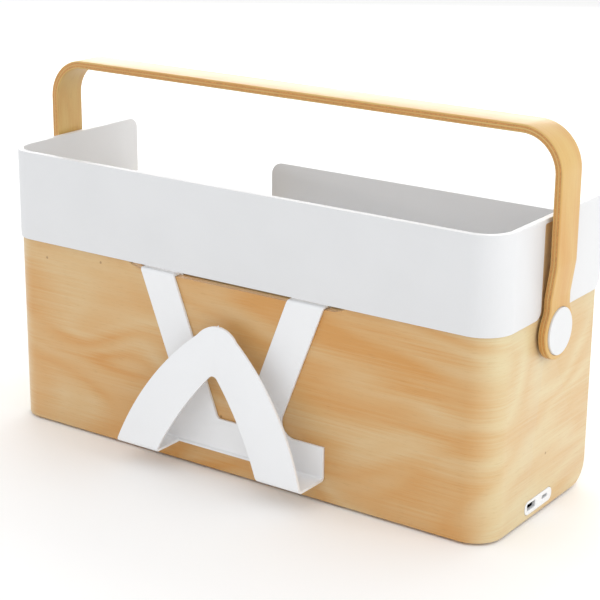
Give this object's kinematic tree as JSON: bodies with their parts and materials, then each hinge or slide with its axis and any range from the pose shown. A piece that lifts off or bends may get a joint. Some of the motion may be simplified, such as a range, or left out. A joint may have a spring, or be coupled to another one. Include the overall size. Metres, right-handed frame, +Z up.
{
  "type": "desk caddy",
  "caption": "Carry-along desk caddy: open plywood case with a white tray rim, a swinging bent plywood handle and a hook-on keyboard clip.",
  "frame": {"origin": "middle of the footprint's box, on the desk", "axes": "+Z up, +X to the right as seen from the front, front (keyboard clip) towards -Y"},
  "size_m": [0.456, 0.1831, 0.2822],
  "materials": {
    "birch_ply": "oiled birch plywood, fine grain, laminations on the edges",
    "inner_ply": "plain birch plywood",
    "white_coat": "matt white powder coat",
    "zinc_steel": "zinc plated",
    "socket_steel": "plated sheet",
    "black_plastic": "matt moulded",
    "rubber": "soft matt",
    "felt": "needle felt",
    "circuit": "green solder mask"
  },
  "bodies": {
    "root": {"case_shell": "birch_ply", "slot_lining_left": "birch_ply", "slot_lining_right": "birch_ply", "back_panel": "birch_ply", "bottom_board": "inner_ply", "laptop_divider": "inner_ply", "side_divider": "inner_ply", "mounting_block_front_left": "inner_ply", "mounting_block_front_right": "inner_ply", "mounting_block_rear_left": "inner_ply", "mounting_block_rear_right": "inner_ply", "tray_shell": "white_coat", "cup_shelf": "white_coat", "hub_plate": "white_coat", "pivot_bolt_left": "zinc_steel", "pivot_bolt_right": "zinc_steel", "pivot_washer_left": "zinc_steel", "pivot_washer_right": "zinc_steel", "pivot_nut_left": "zinc_steel", "pivot_nut_right": "zinc_steel", "panel_screw_1": "zinc_steel", "panel_screw_2": "zinc_steel", "panel_screw_3": "zinc_steel", "panel_screw_4": "zinc_steel", "shelf_screw_1": "zinc_steel", "shelf_screw_2": "zinc_steel", "shelf_screw_3": "zinc_steel", "shelf_screw_4": "zinc_steel", "tray_screw_front_left": "zinc_steel", "tray_screw_front_right": "zinc_steel", "tray_screw_rear_left": "zinc_steel", "tray_screw_rear_right": "zinc_steel", "usb_a_socket": "socket_steel", "usb_c_socket": "socket_steel", "hub_inlet": "socket_steel", "hub_case": "black_plastic", "usb_a_tongue": "black_plastic", "pivot_spacer_left": "black_plastic", "pivot_spacer_right": "black_plastic", "foot_front_left": "rubber", "foot_front_right": "rubber", "foot_rear_left": "rubber", "foot_rear_right": "rubber", "cable_grommet": "rubber", "laptop_pad": "felt", "hub_circuit_board": "circuit"},
    "handle": {"handle": "birch_ply", "pivot_cap_left": "white_coat", "pivot_cap_right": "white_coat"},
    "clip": {"keyboard_clip": "white_coat"}
  },
  "joints": [
    {"name": "handle_swing", "type": "hinge", "parent": "root", "child": "handle", "pos_m": [0, 0.01825, 0.139], "axis": [1, 0, 0], "range_deg": [-90, 90]},
    {"name": "clip_tip", "type": "hinge", "parent": "root", "child": "clip", "pos_m": [0, -0.05275, 0.1465], "axis": [-1, 0, 0], "range_deg": [0, 10]}
  ]
}
